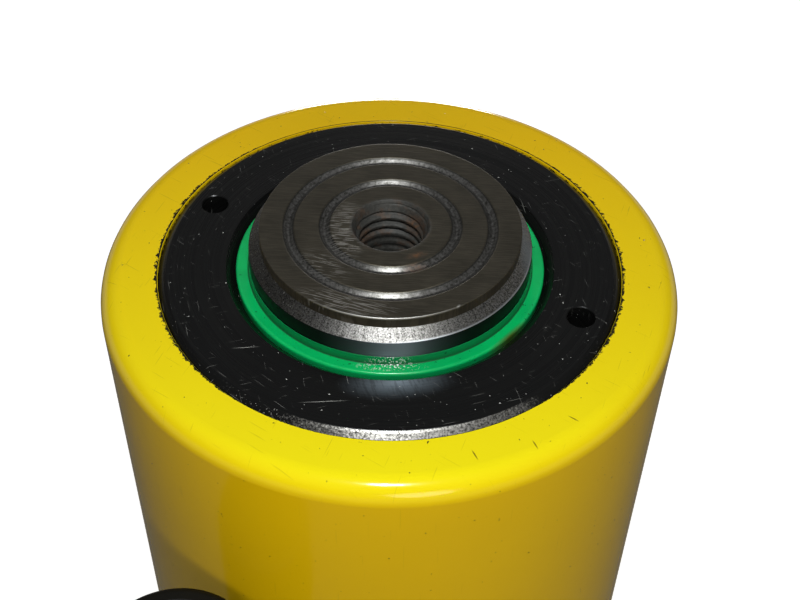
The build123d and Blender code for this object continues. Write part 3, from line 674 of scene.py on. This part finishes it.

# %% [markdown]
# ## Blackened nut
# The nut is turned steel, chemically blackened and oiled. It is nearly black, and smooth enough that only a
# soft glow and the lathe's rings show. Its chamfer, turned after blackening, is bright metal only in front,
# a painted highlight, and keeps the black finish elsewhere. Years of use leave white specks of grit and pale
# scratches. A bluish patch on the face in front of the wiper is a painted glow. The small lock screws have
# the same finish, without a chamfer.

# %% Blackened turned steel
def blackened_steel(name, chamfer=None):
    material, tree, shader = start(name)
    where = position(tree)
    radius, height = polar(tree, where)
    rings = turning(tree, where, 0.35)
    tone = coats(tree, colour("070707"), (rings, "10100F"))
    marks = scratches(tree, where, -18, 3.5, 0.1, 0.745)
    for turn in (40, 75):
        more = scratches(tree, where, turn, 3.5, 0.1, 0.745)
        marks = add(tree, "Math", {0: marks, 1: more}, operation="MAXIMUM")
    marks = add(tree, "Math", {0: marks, 1: 0.45}, operation="MULTIPLY")
    white_grit = specks(tree, where, 0.3, 0.775, 31)
    rough = add(tree, "MapRange", {"Value": rings, "From Min": 0.3, "From Max": 0.7,
                                   "To Min": 0.22, "To Max": 0.34})
    metal, lift = 0.0, rings
    if chamfer:
        for x, y, turn, length in ((-29.4, -27.5, 6, 3.1), (-12.7, -41.8, 4, 5.3)):
            line = patch(tree, where, (x, y, NUT_FACE), (length, 0.12, 5), turn, 0.8)
            marks = add(tree, "Math", {0: marks, 1: line}, operation="MAXIMUM")
        low_r, high_z = chamfer
        outside = add(tree, "Math", {0: radius, 1: low_r}, operation="GREATER_THAN")
        lower = add(tree, "Math", {0: height, 1: high_z}, operation="LESS_THAN")
        edge = add(tree, "Math", {0: outside, 1: lower}, operation="MULTIPLY")
        # painted_lit_front: the chamfer turns bright metal only in front, a painted highlight where the lamp
        # glints.
        painted_lit_front = patch(tree, where, (9, -51, NUT_FACE), (36, 16, 20), soft=0.9)
        grain = add(tree, "TexNoise", {"Vector": where, "Scale": 2.2, "Detail": 4.0, "Roughness": 0.7})
        broken = add(tree, "Math", {0: painted_lit_front, 1: grain}, operation="ADD")
        broken = add(tree, "MapRange", {"Value": broken, "From Min": 0.65, "From Max": 1.2})
        metal = add(tree, "Math", {0: edge, 1: broken}, operation="MULTIPLY")
        sparks = specks(tree, where, 0.25, 0.66, 9)
        for mask in (edge, patch(tree, where, (-8, -48, NUT_FACE), (32, 20, 20))):
            sparks = add(tree, "Math", {0: sparks, 1: mask}, operation="MULTIPLY")
        marks = add(tree, "Math", {0: marks, 1: sparks}, operation="MAXIMUM")
        # painted_sheen: a painted glow of reflected light on the face in front of the wiper, streaked like
        # turning marks.
        painted_sheen = patch(tree, where, (1.8, -36.4, NUT_FACE), (13, 5.2, 8), 6)
        painted_sheen = add(tree, "Math", {0: painted_sheen, 1: 1.8}, operation="POWER")
        streaks = scratches(tree, where, 70, 1.6, 0.22, 0.42)
        streaks = add(tree, "MapRange", {"Value": streaks, "To Min": 0.5, "To Max": 0.75})
        painted_sheen = add(tree, "Math", {0: painted_sheen, 1: streaks}, operation="MULTIPLY")
        tone = coats(tree, tone, (painted_sheen, "7F8B93"))
    tone = coats(tree, tone, (marks, "8E8D88"), (white_grit, "C9C8C2"))
    if chamfer:
        coarse_grain = add(tree, "MapRange", {"Value": grain, "From Min": 0.36, "From Max": 0.64})
        bright = coats(tree, colour("2E2D2A"), (coarse_grain, "A3A09A"))
        tone = add(tree, "Mix", {"Factor": metal, "A": tone, "B": bright}, data_type="RGBA")
        rough = add(tree, "Mix", {"Factor": metal, "A": rough, "B": 0.38})
        coarse = add(tree, "Math", {0: grain, 1: metal}, operation="MULTIPLY")
        lift = add(tree, "Math", {0: rings, 1: coarse}, operation="ADD")
    normal = add(tree, "Bump", {"Height": lift, "Strength": 0.4, "Distance": 0.02 * MM})
    fill(tree, shader, {"Base Color": tone, "Roughness": rough, "Metallic": metal, "Normal": normal})
    fill(tree, shader, {"Specular IOR Level": 0.25})
    return material


finish["nut_black"] = blackened_steel("blackened_turned_steel", chamfer=(NUT_FLAT_R, NUT_FACE - 0.08))
finish["screw_steel"] = blackened_steel("black_oxide_screw")
print("made", finish["nut_black"].name, "and", finish["screw_steel"].name)

# %% [markdown]
# ## Polyurethane wiper and seals
# Wiper polyurethane is cast and turned. It is a saturated green that light enters a little way, with a
# satin surface. Its wall and its lip are a darker green, and the crease between the top and the lip holds
# dirt and a painted contact shadow. Bright swarf clings to the front. The seals inside are the same
# material in blue, and clean.

# %% Cast polyurethane
def polyurethane(name, bright, deep, wiper=False):
    material, tree, shader = start(name)
    where = position(tree)
    radius, height = polar(tree, where)
    cloud = add(tree, "TexNoise", {"Vector": where, "Scale": 1 / 9, "Detail": 3.0})
    soft = add(tree, "MapRange", {"Value": cloud, "From Min": 0.45, "From Max": 0.75, "To Max": 0.25})
    tone = coats(tree, colour(bright), (soft, deep))
    if wiper:
        # inside makes the lip a darker green and lower darkens the bottom of the wall; crease is a dark line
        # of dirt and painted contact shadow where the top meets the lip.
        inside = add(tree, "MapRange", {"Value": radius, "From Min": CREASE_R + 0.25, "From Max": CREASE_R,
                                        "To Max": 0.8})
        crease = between(tree, radius, CREASE_R - 0.05, CREASE_R + 0.1, 0.12)
        lower = add(tree, "MapRange", {"Value": height, "From Min": TOP - 0.25, "From Max": TOP - 1.2,
                                       "To Max": 0.4})
        smear = patch(tree, where, (25.2, -22.6, TOP), (9, 1.0, 9), 48)
        swarf = patch(tree, where, (0.3, -31.7, TOP), (8, 1.5, 4))
        swarf = add(tree, "Math", {0: swarf, 1: specks(tree, where, 0.2, 0.585, 3)}, operation="MULTIPLY")
        tone = coats(tree, tone, (inside, "045E32"), (crease, "10301A"), (lower, "0A5230"), (smear, "3E4A10"),
                     (specks(tree, where, 0.4, 0.74, 12), "0B3A22"), (swarf, "E4E8E4"))
    normal = add(tree, "Bump", {"Height": cloud, "Strength": 0.2, "Distance": 0.05 * MM})
    fill(tree, shader, {"Base Color": tone, "Roughness": 0.26, "Normal": normal})
    fill(tree, shader, {"Subsurface Weight": 0.15, "Subsurface Radius": (0.3, 1.0, 0.5)})
    fill(tree, shader, {"Subsurface Scale": 1.0 * MM, "Specular IOR Level": 0.4})
    return material


finish["wiper_urethane"] = polyurethane("cast_polyurethane_green", "04AC5A", "046238", wiper=True)
finish["seal_urethane"] = polyurethane("cast_polyurethane_blue", "2A5FA8", "173E78")
print("made", finish["wiper_urethane"].name, "and", finish["seal_urethane"].name)

# %% [markdown]
# ## Hard chrome
# The rod is hard chromed and polished, and the wiper keeps it bright. The last few millimetres never pass the
# wiper, so an old oily film has darkened them: nearly black, with a painted bluish highlight in front. The
# end
# was turned after plating: a grey, coarse band, grimy on one side, that glitters where it faces the light. A
# painted bluish glow lies on its right side, and a painted highlight along the front of its outer edge.

# %% Polished chrome with a turned end
def hard_chrome():
    material, tree, shader = start("polished_hard_chrome")
    where = position(tree)
    radius, height = polar(tree, where)
    side = add(tree, "SeparateXYZ", {"Vector": where}, "X")
    end = add(tree, "Math", {0: height, 1: ROD_END - 1.95}, operation="GREATER_THAN")
    film = add(tree, "MapRange", {"Value": height, "From Min": TOP - 6, "From Max": TOP})
    cloud = add(tree, "TexNoise", {"Vector": where, "Scale": 1 / 12, "Detail": 4.0})
    # Painted highlight: within about 15 mm of the middle, X near 1 mm, the dark film turns a lighter bluish
    # grey.
    away = add(tree, "Math", {0: side, 1: -1.0}, operation="ADD")
    away = add(tree, "Math", {0: away}, operation="ABSOLUTE")
    painted_front_gleam = add(tree, "MapRange", {"Value": away, "From Min": 15.0, "From Max": 2.0, "To Max": 0.8})
    oily = coats(tree, colour("26292C"), (painted_front_gleam, "6A737A"))
    clean = coats(tree, colour("B2B5B8"), (cloud, "C8CACC"))
    plated = add(tree, "Mix", {"Factor": film, "A": clean, "B": oily}, data_type="RGBA")

    grain = add(tree, "TexNoise", {"Vector": where, "Scale": 3.0, "Detail": 4.0, "Roughness": 0.8})
    streaky = add(tree, "Mix", {"Factor": 0.18, "A": grain, "B": spokes(tree, where, 420)})
    grit = add(tree, "MapRange", {"Value": streaky, "From Min": 0.39, "From Max": 0.61})
    grimy = add(tree, "MapRange", {"Value": side, "From Min": -4.0, "From Max": -24.0, "To Max": 0.65})
    # painted_side_glow: a painted bluish glow of reflected light on the right side of the chamfer.
    painted_side_glow = patch(tree, where, (30.2, -7, ROD_END - 1.8), (3.2, 15, 5), 10)
    # painted_sheen: a painted highlight along the front of the chamfer's outer edge.
    painted_sheen = between(tree, radius, ROD_R - 0.3, ROD_R + 1.0, 0.12)
    in_front = patch(tree, where, (20, -20, ROD_END), (27, 12, 9), 45, 0.5)
    painted_sheen = add(tree, "Math", {0: painted_sheen, 1: in_front}, operation="MULTIPLY")
    dust = specks(tree, where, 0.22, 0.72, 5)
    cut_face = coats(tree, colour("34332F"), (grit, "BAB8B4"), (grimy, "22211F"), (painted_side_glow, "A3ABB1"),
                     (painted_sheen, "E2E6E8"), (dust, "C8C6C0"))
    tone = add(tree, "Mix", {"Factor": end, "A": plated, "B": cut_face}, data_type="RGBA")

    rough = add(tree, "MapRange", {"Value": film, "To Min": 0.12, "To Max": 0.44})
    rough = add(tree, "Mix", {"Factor": end, "A": rough, "B": 0.47})
    coarse = add(tree, "Mix", {"Factor": end, "A": turning(tree, where, 0.12), "B": grain})
    depth = add(tree, "MapRange", {"Value": end, "To Min": 0.05, "To Max": 1.0})
    coarse = add(tree, "Math", {0: coarse, 1: depth}, operation="MULTIPLY")
    normal = add(tree, "Bump", {"Height": coarse, "Strength": 0.6, "Distance": 0.08 * MM})
    fill(tree, shader, {"Base Color": tone, "Roughness": rough, "Metallic": 1.0, "Normal": normal})
    round_it = add(tree, "Tangent", {}, direction_type="RADIAL", axis="Z")
    fill(tree, shader, {"Anisotropic": 0.8, "Anisotropic Rotation": 0.25, "Tangent": round_it})
    return material


finish["rod_chrome"] = hard_chrome()
print("made", finish["rod_chrome"].name)

# %% [markdown]
# ## Saddle steel
# The saddle is turned steel that has darkened under oil. Its face is a warm brown grey, nearly black, with
# fine scratches where it was filed and slid about. The grooves, which nothing rubs, stay brighter, and rust
# has started in the threaded hole and at the inner groove. Painted shade darkens the grooves' upper flanks,
# and a painted highlight lies on the rim in front.

# %% Oiled steel with rust
def oiled_steel():
    material, tree, shader = start("oiled_turned_steel")
    where = position(tree)
    radius, height = polar(tree, where)
    cloud = add(tree, "TexNoise", {"Vector": where, "Scale": 1 / 6, "Detail": 4.0, "Roughness": 0.6})
    fine = scratches(tree, where, 4, 3, 0.15, 0.5)
    mottle = add(tree, "Mix", {"Factor": 0.3, "A": cloud, "B": fine})
    tone = coats(tree, colour("3B382F"), (mottle, "5A5448"))
    below = add(tree, "Math", {0: height, 1: SADDLE_TOP - 0.12}, operation="LESS_THAN")
    outside = between(tree, radius, 10.0, 27.0, 0.1)
    groove = add(tree, "Math", {0: below, 1: outside}, operation="MULTIPLY")
    grain = add(tree, "TexNoise", {"Vector": where, "Scale": 1.5, "Detail": 4.0, "Roughness": 0.7})
    grit = add(tree, "MapRange", {"Value": grain, "From Min": 0.34, "From Max": 0.66})
    # painted_flank_shade: painted shade on the grooves' upper flanks, just below the face.
    painted_flank_shade = between(tree, height, SADDLE_TOP - 0.3, SADDLE_TOP - 0.12, 0.1)
    bright = coats(tree, colour("3A3934"), (grit, "7C7A77"), (painted_flank_shade, "34332E"))
    tone = add(tree, "Mix", {"Factor": groove, "A": tone, "B": bright}, data_type="RGBA")
    filed = [
        (patch(tree, where, (-9.5, -2, SADDLE_TOP), (5.5, 11, 9), soft=0.5), 4),
        (patch(tree, where, (-9, -24, SADDLE_TOP), (13, 3.6, 9), -14, 0.6), 18),
        (patch(tree, where, (-14, -13, SADDLE_TOP), (8, 5, 9), -25), 14),
    ]
    strokes = 0.0
    for area, turn in filed:
        lines = scratches(tree, where, turn, 2.0, 0.14, 0.55)
        lines = add(tree, "Math", {0: lines, 1: area}, operation="MULTIPLY")
        strokes = add(tree, "Math", {0: strokes, 1: lines}, operation="MAXIMUM")
    faint = add(tree, "Math", {0: strokes, 1: 0.6}, operation="MULTIPLY")
    nick = patch(tree, where, (13.8, -24.7, SADDLE_TOP), (0.9, 0.4, 0.6), 60)
    # rim_highlight: a painted highlight on the rim's top edge, in front only.
    rim_highlight = between(tree, radius, SADDLE_R - 0.18, SADDLE_R + 0.1, 0.08)
    upper = between(tree, height, SADDLE_TOP - 0.4, SADDLE_TOP + 1)
    for mask in (upper, patch(tree, where, (-2, -28, SADDLE_TOP), (20, 9, 5))):
        rim_highlight = add(tree, "Math", {0: rim_highlight, 1: mask}, operation="MULTIPLY")
    # worn joins a real nick and the painted rim highlight.
    worn = add(tree, "Math", {0: nick, 1: rim_highlight}, operation="MAXIMUM")
    tone = coats(tree, tone, (faint, "A9A69F"), (worn, "B4B3AE"))
    in_hole = add(tree, "MapRange", {"Value": radius, "From Min": 9.1, "From Max": 8.4})
    thread = coats(tree, colour("262622"), (grit, "3D3C38"))
    tone = add(tree, "Mix", {"Factor": in_hole, "A": tone, "B": thread}, data_type="RGBA")
    patches = add(tree, "TexNoise", {"Vector": where, "Scale": 1 / 3, "Detail": 5.0, "Roughness": 0.65})
    rusty = add(tree, "MapRange", {"Value": patches, "From Min": 0.5, "From Max": 0.62, "To Max": 0.35})
    near_hole = add(tree, "MapRange", {"Value": radius, "From Min": 9.4, "From Max": 8.0})
    rusty = add(tree, "Math", {0: rusty, 1: near_hole}, operation="MULTIPLY")
    stains = [
        ((5.5, -13.2, 0), (3.5, 1.8, 9)), ((5.5, -9.6, 0), (3, 1.2, 9)),
        ((5.2, 4.6, -4.2), (3.2, 3.5, 3.4)), ((-5.6, 3.8, -7.2), (2.6, 3.4, 2.6)),
    ]
    for (x, y, below_face), size in stains:
        stain = patch(tree, where, (x, y, SADDLE_TOP + below_face), size, 20, 0.8)
        stain = add(tree, "Math", {0: stain, 1: grit}, operation="MULTIPLY")
        rusty = add(tree, "Math", {0: rusty, 1: stain}, operation="MAXIMUM")
    rust = coats(tree, colour("3A2817"), (grain, "6B4626"))
    tone = add(tree, "Mix", {"Factor": rusty, "A": tone, "B": rust}, data_type="RGBA")
    dull = add(tree, "Math", {0: rusty, 1: in_hole}, operation="MAXIMUM")
    metal = add(tree, "MapRange", {"Value": dull, "To Min": 0.85, "To Max": 0.2})
    rough = add(tree, "MapRange", {"Value": cloud, "From Min": 0.3, "From Max": 0.7,
                                   "To Min": 0.42, "To Max": 0.56})
    rough = add(tree, "Mix", {"Factor": groove, "A": rough, "B": 0.38})
    rough = add(tree, "Mix", {"Factor": dull, "A": rough, "B": 0.6})
    rings = turning(tree, where, 0.3)
    lift = add(tree, "Math", {0: rings, 1: strokes}, operation="ADD")
    lift = add(tree, "Math", {0: lift, 1: grain}, operation="ADD")
    normal = add(tree, "Bump", {"Height": lift, "Strength": 0.5, "Distance": 0.04 * MM})
    fill(tree, shader, {"Base Color": tone, "Roughness": rough, "Metallic": metal, "Normal": normal})
    return material


finish["saddle_steel"] = oiled_steel()
print("made", finish["saddle_steel"].name)

# %% [markdown]
# ## The other metals
# The remaining metals differ in colour, in how coarsely they were turned and in how far oil has dulled them,
# so one function makes them all.

# %% Turned, plated and cast metal
def worked_metal(name, light, dark, roughness, feed):
    material, tree, shader = start(name)
    where = position(tree)
    cloud = add(tree, "TexNoise", {"Vector": where, "Scale": 1 / 8, "Detail": 4.0})
    marks = turning(tree, where, feed)
    both = add(tree, "Mix", {"Factor": 0.4, "A": cloud, "B": marks})
    spread = add(tree, "MapRange", {"Value": both, "From Min": 0.35, "From Max": 0.65})
    tone = coats(tree, colour(dark), (spread, light))
    rough = add(tree, "MapRange", {"Value": cloud, "To Min": roughness + 0.12, "To Max": roughness - 0.08})
    normal = add(tree, "Bump", {"Height": marks, "Strength": 0.4, "Distance": 0.02 * MM})
    fill(tree, shader, {"Base Color": tone, "Roughness": rough, "Metallic": 1.0, "Normal": normal})
    return material


worked = {
    "zinc_steel": worked_metal("zinc_plated_steel", "C3C5C4", "A29F94", 0.34, 0.4),
    "poppet_brass": worked_metal("turned_brass", "D9B65E", "B08A3C", 0.26, 0.2),
    "spring_steel": worked_metal("drawn_spring_steel", "8F9093", "66676A", 0.32, 0.3),
    "plug_steel": worked_metal("turned_oily_steel", "7E7C78", "5A5854", 0.4, 0.35),
    "bush_iron": worked_metal("turned_ductile_iron", "6E6C69", "4E4C4A", 0.5, 0.5),
    "piston_steel": worked_metal("fine_turned_steel", "92918E", "6F6E6B", 0.3, 0.25),
}
finish.update(worked)
print("worked metals:", ", ".join(material.name for material in worked.values()))

# %% [markdown]
# ## Moulded black caps, and the soft rings inside
# The dust caps are moulded vinyl: black, with a spark-eroded texture from the mould and a paler rim that is a
# painted highlight. The rings inside are nitrile rubber, white PTFE and a brown fabric-filled resin that
# shows its weave.

# %% Moulded and woven plastics
def moulded(name, base, worn, roughness, texture, rim_highlight=None, weave=None):
    material, tree, shader = start(name)
    where = position(tree, tuple(coupler_axis / MM)) if rim_highlight else position(tree)
    cloud = add(tree, "TexNoise", {"Vector": where, "Scale": 1 / 7, "Detail": 4.0})
    spread = add(tree, "MapRange", {"Value": cloud, "From Min": 0.45, "From Max": 0.75, "To Max": 0.5})
    tone = coats(tree, colour(base), (spread, worn))
    fine = add(tree, "TexNoise", {"Vector": where, "Scale": 0.5 / texture, "Detail": 2.0})
    radius, height = polar(tree, where)
    # The paler band round the cap's top is a painted highlight.
    if rim_highlight:
        tone = coats(tree, tone, (between(tree, radius, *rim_highlight, 0.3), worn))
    if weave:
        threads = add(tree, "Math", {0: height, 1: pi / weave}, operation="MULTIPLY")
        fine = add(tree, "Math", {0: threads}, operation="SINE")
    normal = add(tree, "Bump", {"Height": fine, "Strength": 0.3, "Distance": 0.03 * MM})
    fill(tree, shader, {"Base Color": tone, "Roughness": roughness, "Normal": normal})
    fill(tree, shader, {"Specular IOR Level": 0.15})
    return material


# The caps' rim band is a painted highlight.
cap_rim_highlight = (CAP_DISH_R, CAP_R - 0.8)
finish["cap_black"] = moulded("moulded_black_vinyl", "040404", "0E0E0C", 0.5, 0.5, rim_highlight=cap_rim_highlight)
finish["nitrile"] = moulded("moulded_nitrile_rubber", "151515", "232322", 0.5, 0.4)
finish["ptfe"] = moulded("skived_white_ptfe", "E4E3DC", "D3D0C6", 0.45, 0.6)
finish["guide_resin"] = moulded("fabric_filled_resin", "7A4E28", "5E3A1C", 0.5, 0.5, weave=0.7)
print("plastics:", ", ".join(finish[slot].name for slot in ("cap_black", "nitrile", "ptfe", "guide_resin")))

# %% A material on every piece
for name, (piece, slot) in dressed.items():
    piece.data.materials.clear()
    piece.data.materials.append(finish[slot])
slots = {s["node"]: s["material_slot"] for s in frame["record"]["subparts"]}
for name, node in frame["nodes"].items():
    node.data.materials.clear()
    node.data.materials.append(finish[slots[name]])
print(len(finish), "materials on", len(slots), "nodes and", len(dressed), "new pieces")

# %% [markdown]
# ## Floor, light and camera
# The photograph has a plain white ground, so the floor is one pale sweep that curves up behind. What the
# camera sees of it is nearly white beside the object and white further off, but it lights the object no
# more than a pale grey card would. Polished metal mirrors a darker card that glows less, least of all beside
# the object and high up, where the real room was dark. The light is a small lamp just above the lens, which
# gives the glints on the chamfer and in the grooves, with two soft ones before and behind the object and a
# dim, even world. The camera's place, tilt and lens were fitted to the photograph's circles: the edges of the
# barrel, the nut, the wiper and the saddle.

# %% Sweep
def white_card():
    material, tree, shader = start("white_card")
    rays = add(tree, "LightPath", {}, "Is Camera Ray").node.outputs
    mirrored = add(tree, "Math", {0: rays["Is Glossy Ray"], 1: rays["Is Transmission Ray"]},
                   operation="MAXIMUM")
    place = add(tree, "TexCoord", {}, "Object")
    distance = add(tree, "VectorMath", {0: place}, operation="LENGTH")
    away = add(tree, "MapRange", {"Value": distance, "From Min": 0.6, "From Max": 1.3,
                                  "To Min": 0.04, "To Max": 0.5})
    height = add(tree, "SeparateXYZ", {"Vector": place}, "Z")
    low_down = add(tree, "MapRange", {"Value": height, "From Min": 0.9, "From Max": 0.4, "To Min": 0.15})
    dimmed = add(tree, "Math", {0: away, 1: low_down}, operation="MULTIPLY")
    dimmed = add(tree, "Math", {0: mirrored, 1: dimmed}, operation="MULTIPLY")
    seen = add(tree, "Math", {0: rays["Is Camera Ray"], 1: dimmed}, operation="MAXIMUM")
    far = add(tree, "MapRange", {"Value": distance, "From Min": 0.6, "From Max": 1.6, "To Min": 0.85})
    glow = add(tree, "Math", {0: seen, 1: far}, operation="MULTIPLY")
    card = coats(tree, colour("C8C8C6"), (mirrored, "6E6E6C"))
    fill(tree, shader, {"Base Color": card, "Roughness": 0.9})
    fill(tree, shader, {"Emission Color": (1, 1, 1, 1), "Emission Strength": glow})
    return material


sweep_outline = np.array([
    (0, 0), (0.5, 0), (1.5, 0), (2.4, 0), (2.9, 0.07), (3.3, 0.25), (3.6, 0.6), (3.7, 1.1), (3.7, 2.4),
]) / MM
sweep_mesh = mesh_of("sweep", turned(sweep_outline[::-1], 96), rows_meet=False)
sweep_mesh.shade_smooth()
sweep_mesh.materials.append(white_card())
sweep = bpy.data.objects.new("sweep", sweep_mesh)
bpy.context.scene.collection.objects.link(sweep)
print("sweep faces", len(sweep_mesh.polygons))

# %% Lamps, world and camera
def lamp(name, place, target, size, power, tint):
    """A round area lamp at a place, aimed at a target, both in metres."""
    light = bpy.data.lights.new(name, "AREA")
    light.shape, light.size, light.energy, light.color = "DISK", size, power, tint
    holder = bpy.data.objects.new(name, light)
    holder.location = place
    holder.rotation_euler = (Vector(target) - Vector(place)).to_track_quat("-Z", "Y").to_euler()
    holder.visible_camera = False
    bpy.context.scene.collection.objects.link(holder)


EYE = Vector((0, -0.20639, 0.54145))
TILT, ROLL, PAN = 45.35924, -0.85257, 0.19312
LENS, SENSOR = 57.41, 36.0
lamp("flash", EYE + Vector((0, 0.049, 0.050)), (0, 0, 0.33), 0.035, 0.72, (0.95, 0.98, 1.0))
lamp("front", (0.25, -1.3, 0.75), (0, 0, 0.25), 0.5, 4, (1.0, 0.97, 0.92))
lamp("back", (0, 1.7, 0.3), (0, 0, 0.15), 0.6, 13, (1.0, 0.97, 0.92))
world = bpy.data.worlds.new("dim_room")
world.use_nodes = True
room = world.node_tree.nodes["Background"]
fill(world.node_tree, room, {"Color": (0.95, 0.97, 1.0, 1.0), "Strength": 0.2})
bpy.context.scene.world = world

camera = bpy.data.objects.new("camera", bpy.data.cameras.new("camera"))
camera.data.sensor_width, camera.data.lens = SENSOR, LENS
camera.data.clip_start, camera.data.clip_end = 0.01, 20
camera.location = EYE
camera.rotation_euler = [radians(angle) for angle in (TILT, ROLL, PAN)]
bpy.context.scene.collection.objects.link(camera)
bpy.context.scene.camera = camera
bpy.context.scene.view_settings.view_transform = "Standard"
print("camera", tuple(round(v, 4) for v in camera.location), "lens", camera.data.lens)
